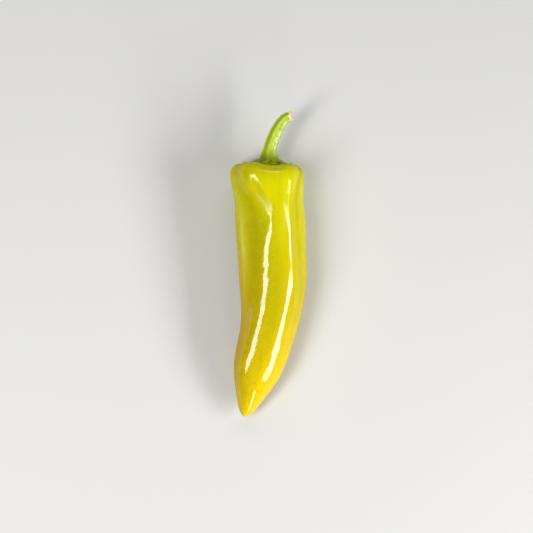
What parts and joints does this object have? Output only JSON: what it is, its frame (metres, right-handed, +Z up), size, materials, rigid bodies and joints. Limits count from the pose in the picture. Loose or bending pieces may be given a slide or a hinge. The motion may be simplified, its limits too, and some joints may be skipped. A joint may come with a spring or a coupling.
{
  "type": "hot banana pepper",
  "caption": "Long tapering banana pepper lying on its side, with a lobed, gently bent glossy pod, a toothed green calyx and a curved ribbed stem with a torn end.",
  "frame": {"origin": "on the surface that the pepper lies on, under the middle of the whole pepper's box", "axes": "+Z up from the surface, +Y along the pod from its tip towards the stem, +X across the pod, to the side that the stem bends to"},
  "size_m": [0.0454, 0.1814, 0.0407],
  "materials": {
    "pod_skin": "waxy gloss",
    "calyx_green": "satin",
    "stem_green": "waxy satin"
  },
  "bodies": {
    "root": {"pod": "pod_skin", "calyx": "calyx_green", "stem": "stem_green"}
  },
  "joints": []
}
